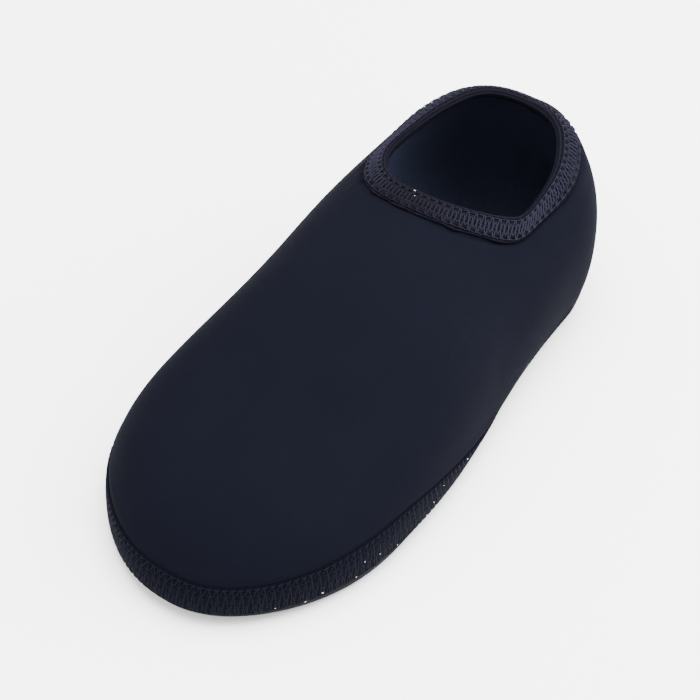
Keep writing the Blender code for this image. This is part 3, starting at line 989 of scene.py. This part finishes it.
base, stitch = sewn(collar_loop, BINDING_PITCH)
level = 0 * stitch
on_tape = CLEARANCE + BINDING_THICK
in_tape = -(WALL + on_tape - FOLD_PINCH)
middle = (BINDING_ROWS[0] + BINDING_ROWS[-1]) / 2
reach = (BINDING_ROWS[-1] - BINDING_ROWS[0]) / 2
paths = []
for row in BINDING_ROWS:
    paths.append((row + level, on_tape + dive(stitch, 0.12 * MM, 0.5 * MM), NEEDLE))
for cover in FACE_COVERS:
    down = middle + cover.reach * reach * ladder(stitch + cover.start)
    paths.append((down, on_tape + cover.height + level, COVER_THREAD))
for row in BINDING_ROWS[1:]:
    paths.append((row + level, in_tape - dive(stitch, 0.1 * MM, 0.4 * MM), NEEDLE))
down = middle + LINING_COVER.reach * reach * ladder(stitch + LINING_COVER.start)
paths.append((down, in_tape - LINING_COVER.height + level, COVER_THREAD))
collar_threads = closed_threads(base, paths)
thread_shade = THREAD_SHADE * bell(np.sin(base.angles / 2), THREAD_SHADE_WIDTH)
thread_shade_points = np.tile(np.repeat(thread_shade, THREAD_SIDES), len(collar_threads))
add_tubes("binding_stitches", collar_threads, True, polyester, thread_shade_points)

# %% [markdown]
# ## The flat seam of the sole
#
# Where upper and sole meet, their edges butt and a four-needle overlock covers the joint with a
# flat band. It is 15 mm wide at the ball of the foot, a little less at the toe and 6 mm under the
# heel, and it runs lower on the inner side. The band is pressed foam under thread: a low dome with
# a row of pits at each needle line.

# %% The band over the joint
SEAM_PITCH = 2.8 * MM
# Needle lines as shares of the band's half width.
SEAM_ROWS = (-0.86, -0.48, 0.2, 0.86)
SEAM_HOLE_WIDTH, SEAM_HOLE_DEPTH, LINE_DEPTH = 0.55 * MM, 0.4 * MM, 0.14 * MM
BAND_FOOT, BAND_BACK = 0.3 * CLEARANCE, -0.5 * MM
BAND_AROUND, BAND_ROWS = 1280, 20


def band_rise(share, pits):
    """Height of the band: a low dome, sunk at the needle lines, with a pit at every stitch."""
    dome = SEAM_THICK * (0.75 - 0.35 * share**2)
    lines = LINE_DEPTH * sum(bell(share - row, 0.1) for row in SEAM_ROWS)
    edge = step_up(1 - np.abs(share), -0.02, 0.1)
    return BAND_FOOT + edge * (dome - lines - SEAM_HOLE_DEPTH * pits)


seam_jersey = jersey("Pressed jersey under the seam", "#05050a", "#090a12", "#030306", 0.015)
band_skin = skin(even_angles(seam_loop, BAND_AROUND))
share = np.linspace(-1, 1, BAND_ROWS)[:, None] * np.ones(BAND_AROUND)
stitch = at_stitch(band_skin, seam_loop, SEAM_PITCH)
rows = [row * band_skin.band for row in SEAM_ROWS]
holes = needle_holes(stitch, SEAM_PITCH, share * band_skin.band, rows, SEAM_HOLE_WIDTH)
pits = np.clip(holes, 0, 1)
band_face = on_skin(band_skin, band_skin.seam + share * band_skin.band, band_rise(share, pits))[0]
back_rows = band_skin.seam + share[::-6] * band_skin.band
band_back = on_skin(band_skin, back_rows, BAND_BACK)[0]
band = np.concatenate([band_face, band_back])
down = np.concatenate([share, share[::-6], share[:1]])[:, :1] * SEAM_WIDTH / 2
round_seam = np.linspace(0, seam_loop.total, BAND_AROUND + 1)
# The needle holes are also painted darker through the shade attribute: painted shade in the holes.
sole_band = add_grid(
    "sole_seam_band", band, Pattern(round_seam[None], down), wrap_rows=True,
    pits=np.concatenate([pits, 0 * back_rows]), materials=(seam_jersey,),
)
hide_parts("sole_seam")

# %% Threads of the sole's seam
SEAM_COVER_THREAD = 0.2 * MM
SEAM_COVERS = (
    Cover(0.19, 0.67, 0.25, 0.02 * MM),
    Cover(-0.67, 0.19, 0.6, 0.02 * MM),
    Cover(0.53, 0.33, 0.85, 0.02 * MM),
)
# How far, in stitches, the cover threads wander along the band, and the waves of it.
WANDER, WANDERING = 0.12, ((37, 0.6, 0.3), (61, 0.5, 1.2), (97, 0.4, 2.6))

base, stitch = sewn(seam_loop, SEAM_PITCH)
on_band = BAND_FOOT + 0.62 * SEAM_THICK
paths = []
for row in SEAM_ROWS:
    sunk = 0.12 * MM + 0.1 * MM * abs(row)
    lift = on_band - sunk + dive(stitch, 0.16 * MM, 0.45 * MM)
    paths.append((base.seam + row * base.band, lift, NEEDLE))
wander = WANDER * ripple(base.angles, WANDERING)
for cover in SEAM_COVERS:
    share_down = cover.middle + cover.reach * ladder(stitch + cover.start + wander)
    paths.append((base.seam + share_down * base.band, on_band + cover.height + 0 * stitch, SEAM_COVER_THREAD))
sole_threads = closed_threads(base, paths)
add_tubes("sole_seam_stitches", sole_threads, True, seam_polyester)

# %% [markdown]
# ## The flat seam down the heel
#
# The upper's two ends are joined down the back with the same overlock, narrower. The band follows
# profiles a few millimetres either side of the heel's middle line.

# %% Heel seam band
HEEL_PITCH = 2.6 * MM
HEEL_ROWS = (-0.8, 0, 0.8)
HEEL_HOLE_WIDTH, HEEL_HOLE_DEPTH = 0.5 * MM, 0.35 * MM
HEEL_TURN, HEEL_TURNS = 0.3, 301
HEEL_COLUMNS, HEEL_BAND_ROWS = 25, 140


def heel_skin(offset):
    """The skin where the widest line lies this far to the outer side of the heel's end."""
    near = np.linspace(np.pi - HEEL_TURN, np.pi + HEEL_TURN, HEEL_TURNS)
    return skin(np.interp(-offset, -widest_line(near)[:, 1], near))


def heel_ends(base):
    """Where the heel's seam starts, under the binding, and ends, under the sole's seam."""
    return BINDING_WIDTH - 1.5 * MM + 0 * base.seam, base.seam - base.band + 1 * MM


across = np.linspace(1, -1, HEEL_COLUMNS) * HEEL_SEAM_WIDTH / 2
heel_base = heel_skin(across)
first, last = heel_ends(heel_base)
down = first + np.linspace(0, 1, HEEL_BAND_ROWS)[:, None] * (last - first)
share = np.broadcast_to(across / (HEEL_SEAM_WIDTH / 2), down.shape)
rows = [row * HEEL_SEAM_WIDTH / 2 for row in HEEL_ROWS]
pits = needle_holes(down / HEEL_PITCH, HEEL_PITCH, across, rows, HEEL_HOLE_WIDTH)
edge = step_up(1 - np.abs(share), -0.02, 0.12)
heel_rise = BAND_FOOT + edge * (SEAM_THICK * (0.7 - 0.3 * share**2) - HEEL_HOLE_DEPTH * pits)
# The first and the last row go down to the back, which closes the band's ends.
heel_rise[[0, -1]] = BAND_BACK
heel_face = on_skin(heel_base, down, heel_rise)[0]
heel_back = on_skin(heel_base, down, BAND_BACK)[0]
heel_wall = np.concatenate([heel_face, heel_back[:, ::-1]], axis=1)
seam_round = np.concatenate([across, across[::-1], across[:1]])
heel_band = add_grid(
    "heel_seam_band", heel_wall, Pattern(seam_round[None], down[:, :1] * np.ones(len(seam_round))),
    materials=(seam_jersey,), weld=True,
)
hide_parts("heel_seam")


# %% Threads of the heel's seam
HEEL_COVER = Cover(0, 0.8, 0.25, 0.05 * MM)
TAPER_STEPS = 3


def heel_thread(across, lift, radius):
    """A thread down the heel: across is its way to the outer side at each step down.

    Its ends taper to a point over TAPER_STEPS steps, which closes them.
    """
    base = heel_skin(across)
    first, last = heel_ends(base)
    length = first + np.linspace(0, 1, len(across)) * (last - first)
    points, normals = on_skin(base, length[None], lift[None])
    step = np.arange(len(across))
    ends = step_up(step, 0, TAPER_STEPS) * step_up(step[::-1], 0, TAPER_STEPS)
    return tube(points[0], normals[0], radius * ends, False)


heel_stitches = int((heel_base.seam.mean() - BINDING_WIDTH) / HEEL_PITCH)
stitch = np.arange(heel_stitches * THREAD_STEPS) / THREAD_STEPS
on_heel = BAND_FOOT + 0.6 * SEAM_THICK
heel_dive = on_heel + dive(stitch, 0.1 * MM, 0.45 * MM)
heel_threads = [heel_thread(row + 0 * stitch, heel_dive, NEEDLE) for row in rows]
to_and_fro = HEEL_COVER.reach * HEEL_SEAM_WIDTH / 2 * ladder(stitch + HEEL_COVER.start)
heel_threads.append(heel_thread(to_and_fro, on_heel + HEEL_COVER.height + 0 * stitch, COVER_THREAD))
add_tubes("heel_seam_stitches", heel_threads, False, seam_polyester)

# %% [markdown]
# ## The rubber sole
#
# The sole is a sheet of rubber 2.2 mm thick, cupped round the foot's edge. Calendering leaves it
# matt with a fine pebble, about a millimetre across, and dust gathers on it in patches. Low printed
# dots under it grip wet stone. The bottom's skin is let in by the dots' height, so that the shoe
# stands on the dots at the floor's level.

# %% Rubber materials
PEBBLE, DUST = 1.111 * MM, 16.67 * MM


def calendered_rubber(name, swatch, light, roughness):
    """Matt black rubber: a pebble of small Voronoi cells, whose tone is their distance times the dust."""
    made, tree, shader = start_material(name, roughness=roughness, ior=1.4, specular_ior_level=0.1)
    place = node(tree, "TexCoord").outputs["Object"]
    cells = node(tree, "TexVoronoi", {"Vector": place, "Scale": 1 / PEBBLE})
    pebble = cells.outputs["Distance"]
    dust = node(tree, "TexNoise", {"Vector": place, "Scale": 1 / DUST, "Detail": 4.0})
    tone = node(tree, "Math", {0: pebble, 1: dust.outputs["Fac"]}, operation="MULTIPLY")
    colour = node(tree, "Mix", {0: tone.outputs[0], 6: linear(swatch), 7: linear(light)}, data_type="RGBA")
    bump = node(tree, "Bump", {"Height": pebble, "Distance": 0.1 * MM, "Strength": 0.5})
    dress(tree, shader, base_color=colour.outputs[2], normal=bump.outputs["Normal"])
    return made


rubber = calendered_rubber("Calendered rubber sheet", "#060609", "#0d0d12", 0.75)
dot_rubber = calendered_rubber("Printed rubber dots", "#08080b", "#111116", 0.6)

# %% The cupped sheet
SOLE_AROUND, CUP_ROWS, BOTTOM_ROWS = 432, 30, 24
DOT_HEIGHT, DOT_RADIUS, DOT_PITCH, DOT_MARGIN = 0.4 * MM, 1.4 * MM, 5.2 * MM, 4 * MM
LET_IN_HALF = 3 * MM
sole_skin = skin(np.arange(SOLE_AROUND) * 2 * np.pi / SOLE_AROUND)
cup_shares = np.linspace(0, 1, CUP_ROWS)[:, None]
bottom_shares = np.linspace(0, 1, BOTTOM_ROWS)[1:, None]
rows = np.concatenate([
    sole_skin.seam + cup_shares * (sole_skin.edge - sole_skin.seam),
    sole_skin.edge + bottom_shares * (sole_skin.end - sole_skin.edge),
])
let_in = DOT_HEIGHT * step_up(rows - sole_skin.edge, -LET_IN_HALF, LET_IN_HALF)
sheet_face = on_skin(sole_skin, rows, -let_in)[0]
sheet_back = on_skin(sole_skin, rows[::-2], -SOLE_THICK)[0]
sheet_back[0] = on_skin(sole_skin, rows[-1:], -SOLE_THICK)[0][0]
sheet = np.concatenate([sheet_face, sheet_back])
sole = add_grid("rubber_sole", sheet, wrap_rows=True, materials=(rubber,), weld=True)
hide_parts("sole")

# %% Where the grip dots lie: a triangular pattern inside the bottom's edge
DOTS_TO_A_SIDE = 12
edge_ring = on_skin(sole_skin, sole_skin.edge[None], 0)[0][0]
heel_end, toe_end = edge_ring[:, 0].min() + DOT_MARGIN, edge_ring[:, 0].max() - DOT_MARGIN
rows_x = np.arange(heel_end, toe_end, DOT_PITCH * np.sqrt(3) / 2)
rows_y = np.arange(-DOTS_TO_A_SIDE, DOTS_TO_A_SIDE + 1) * DOT_PITCH
centres = np.stack(np.meshgrid(rows_x, rows_y, indexing="ij"), axis=-1)
centres[1::2, :, 1] += DOT_PITCH / 2
centres = centres.reshape(-1, 2)
away = np.linalg.norm(centres[:, None] - edge_ring[None, :, :2], axis=-1).min(axis=1)
outer_side, inner_side = edge_ring[: SOLE_AROUND // 2 + 1], edge_ring[SOLE_AROUND // 2 :]
top = np.interp(centres[:, 0], outer_side[::-1, 0], outer_side[::-1, 1])
bottom = np.interp(centres[:, 0], inner_side[:, 0], inner_side[:, 1])
centres = centres[(centres[:, 1] < top) & (centres[:, 1] > bottom) & (away > DOT_MARGIN)]
print("grip dots", len(centres))

# %% Each dot, a low dome whose rim is sunk in the rubber
DOT_SIDES = 8
# Reach of each ring as a share of the radius, and its fall as a share of the dot's height.
DOT_REACH = np.array([1.0, 0.85, 0.45, 0.0])[:, None]
DOT_FALL = np.array([-1.2, 0.25, 0.85, 1.0])[:, None]
rim = np.arange(DOT_SIDES) * 2 * np.pi / DOT_SIDES
ring = DOT_REACH * DOT_RADIUS
dome = np.stack([ring * np.cos(rim), ring * np.sin(rim), 0 * rim - DOT_FALL * DOT_HEIGHT], axis=-1)
ground = DOT_HEIGHT + floor_height(centres[:, 0] - SHIFT[0])
anchor = np.concatenate([centres, ground[:, None]], axis=1)
dots = anchor[:, None, None] + dome
place = grid_faces(len(dome), DOT_SIDES, False, True)
one = place[..., 0] * DOT_SIDES + place[..., 1] % DOT_SIDES
faces = (np.arange(len(centres)) * len(dome) * DOT_SIDES)[:, None, None] + one
grip = add_piece("grip_dots", dots.reshape(-1, 3), faces.reshape(-1, 4), materials=(dot_rubber,), weld=True)

# %% [markdown]
# ## The insole
#
# Inside lies a thin foam insole faced with brushed knit. Only a dark patch of it shows through the
# collar. It is a closed pad over the sole's inner face with a softly rounded edge.

# %% Insole
PAD_ROWS, PAD_ROUND = 30, 1.6 * MM
insole_cloth = jersey("Brushed knit on foam", "#13141b", "#1d1e29", "#0b0c11", 0.2)
inset = sole_skin.edge + INSOLE_MARGIN
pad_rows = inset + np.linspace(0, 1, PAD_ROWS)[:, None] * (sole_skin.end - inset)
round_edge = INSOLE_THICK * np.sqrt(1 - (1 - step_up(pad_rows - inset, 0, PAD_ROUND)) ** 2)
on_sole = SOLE_THICK + CLEARANCE
pad_top = on_skin(sole_skin, pad_rows, -(on_sole + 0.2 * INSOLE_THICK + 0.8 * round_edge))[0]
pad_base = on_skin(sole_skin, pad_rows[::-3], -on_sole)[0]
pad_base[0] = on_skin(sole_skin, pad_rows[-1:], -on_sole)[0][0]
pad = np.concatenate([pad_top, pad_base])
closed = np.concatenate([pad, pad[:, :1]], axis=1)
closed = np.concatenate([closed, closed[:1]])
insole = add_grid(
    "foam_insole", pad[::-1], Pattern(closed[::-1, :, 0], closed[::-1, :, 1]), wrap_rows=True,
    materials=(insole_cloth,), weld=True,
)
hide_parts("insole")

# %% [markdown]
# ## Lint
#
# Dark neoprene catches lint. A few white specks sit along the seam at the toe and two on the
# binding, each a flattened flake turned its own way.

# %% Flakes of lint
Flake = namedtuple("Flake", "turn down size")
SEAM_FLAKE_LIFT, TAPE_FLAKE_LIFT, LINT_SEED = 0.85 * MM, 1.35 * MM, 4
# Turn round the shoe in degrees, way down from the seam's middle as a share of its half width, and
# size in mm.
SEAM_LINT = (
    Flake(32, 0.7, 0.3), Flake(39, 0.85, 0.4), Flake(43, 0.65, 0.45), Flake(51, 0.75, 0.35),
    Flake(53, 0.05, 0.3), Flake(57, 0.25, 0.3), Flake(62, 0.7, 0.4), Flake(73, 0.15, 0.35),
    Flake(76, -0.5, 0.3), Flake(84, -0.7, 0.4),
)
# Turn, way down from the collar's edge in mm, and size in mm.
TAPE_LINT = (Flake(5, 0.2, 0.5), Flake(8, 2.4, 0.3))


def flakes(centres, normals, sizes, seed):
    """An octahedron for each speck, flattened on the skin and turned by a seeded random angle."""
    chance = np.random.default_rng(seed)
    helper = np.array([0.3, 0.2, 1.0])
    side = np.cross(normals, helper)
    side /= np.linalg.norm(side, axis=1, keepdims=True)
    other = np.cross(normals, side)
    turn = chance.uniform(0, 2 * np.pi, len(sizes))[:, None]
    long = np.cos(turn) * side + np.sin(turn) * other
    short = np.cross(normals, long)
    axes = np.stack([long, -long, 0.4 * short, -0.4 * short, 0.5 * normals, -0.2 * normals], axis=1)
    return centres[:, None] + axes * sizes[:, None, None]


lint_white = start_material("Cotton lint", base_color=linear("#d9dbe2"), roughness=0.9, sheen_weight=0.2)[0]
seam_base = skin(np.radians([flake.turn for flake in SEAM_LINT]))
shares = np.array([flake.down for flake in SEAM_LINT])
on_seam = on_skin(seam_base, (seam_base.seam + shares * seam_base.band)[None], SEAM_FLAKE_LIFT)
tape_base = skin(np.radians([flake.turn for flake in TAPE_LINT]))
on_edge = on_skin(tape_base, np.array([[flake.down for flake in TAPE_LINT]]) * MM, TAPE_FLAKE_LIFT)
centres, normals = (np.concatenate([a[0], b[0]]) for a, b in zip(on_seam, on_edge))
sizes = np.array([flake.size for flake in SEAM_LINT + TAPE_LINT]) * MM
specks = flakes(centres, normals, sizes, LINT_SEED)
OCTAHEDRON = np.array([
    (0, 2, 4), (2, 1, 4), (1, 3, 4), (3, 0, 4), (2, 0, 5), (1, 2, 5), (3, 1, 5), (0, 3, 5),
])
faces = (np.arange(len(specks)) * specks.shape[1])[:, None, None] + OCTAHEDRON
lint = add_piece("lint", specks.reshape(-1, 3), faces.reshape(-1, 3), materials=(lint_white,))

# %% [markdown]
# ## Floor, light and camera
#
# The shoe stands on a pale floor under soft light: a wide softbox overhead, a second at the heel's
# side that lightens the outer quarter, and a bright surround. The camera looks down at about 45
# degrees over the outer side of the toe, with a long lens, so that the shoe fills the frame.

# %% Floor
floor_paint, _, _ = start_material("Matt white floor paint", base_color=linear("#f4f4f6"), roughness=0.9)
FLOOR = 8.0
corners = np.array([(-1, -1, 0), (1, -1, 0), (1, 1, 0), (-1, 1, 0)]) * FLOOR / 2
floor_mesh = bpy.data.meshes.new("floor")
floor_mesh.from_pydata(corners.tolist(), [], [(0, 1, 2, 3)])
floor_mesh.materials.append(floor_paint)
floor = bpy.data.objects.new("floor", floor_mesh)
bpy.context.scene.collection.objects.link(floor)

# %% Lights


def softbox(name, place, target, size, power):
    """A square area light at a place, facing a target."""
    lamp = bpy.data.lights.new(name, "AREA")
    lamp.shape, lamp.size, lamp.energy = "SQUARE", size, power
    light = bpy.data.objects.new(name, lamp)
    light.location = place
    light.rotation_euler = (Vector(target) - Vector(place)).to_track_quat("-Z", "Y").to_euler()
    bpy.context.scene.collection.objects.link(light)


softbox("overhead", (-0.2, 0.1, 1.6), (0, 0, 0), 1.4, 110)
softbox("heel_side", (-0.9, 0.9, 0.9), (-0.05, 0, 0.03), 0.9, 37)
world = bpy.data.worlds.new("Studio surround")
world.use_nodes = True
surround = world.node_tree.nodes["Background"]
surround.inputs["Color"].default_value = linear("#ffffff")
surround.inputs["Strength"].default_value = 2.9
bpy.context.scene.world = world

# %% Camera
CAMERA_PLACE = Vector((0.4086, 0.2793, 0.5306))
CAMERA_TARGET = Vector((0.0065, -0.002, 0.030))
CAMERA_ROLL = 0.7
lens = bpy.data.cameras.new("camera")
lens.sensor_width, lens.lens = 36, 95
camera = bpy.data.objects.new("camera", lens)
camera.location = CAMERA_PLACE
aim = (CAMERA_TARGET - CAMERA_PLACE).to_track_quat("-Z", "Y").to_matrix()
camera.rotation_euler = (aim @ Matrix.Rotation(np.radians(CAMERA_ROLL), 3, "Z")).to_euler()
bpy.context.scene.collection.objects.link(camera)
bpy.context.scene.camera = camera
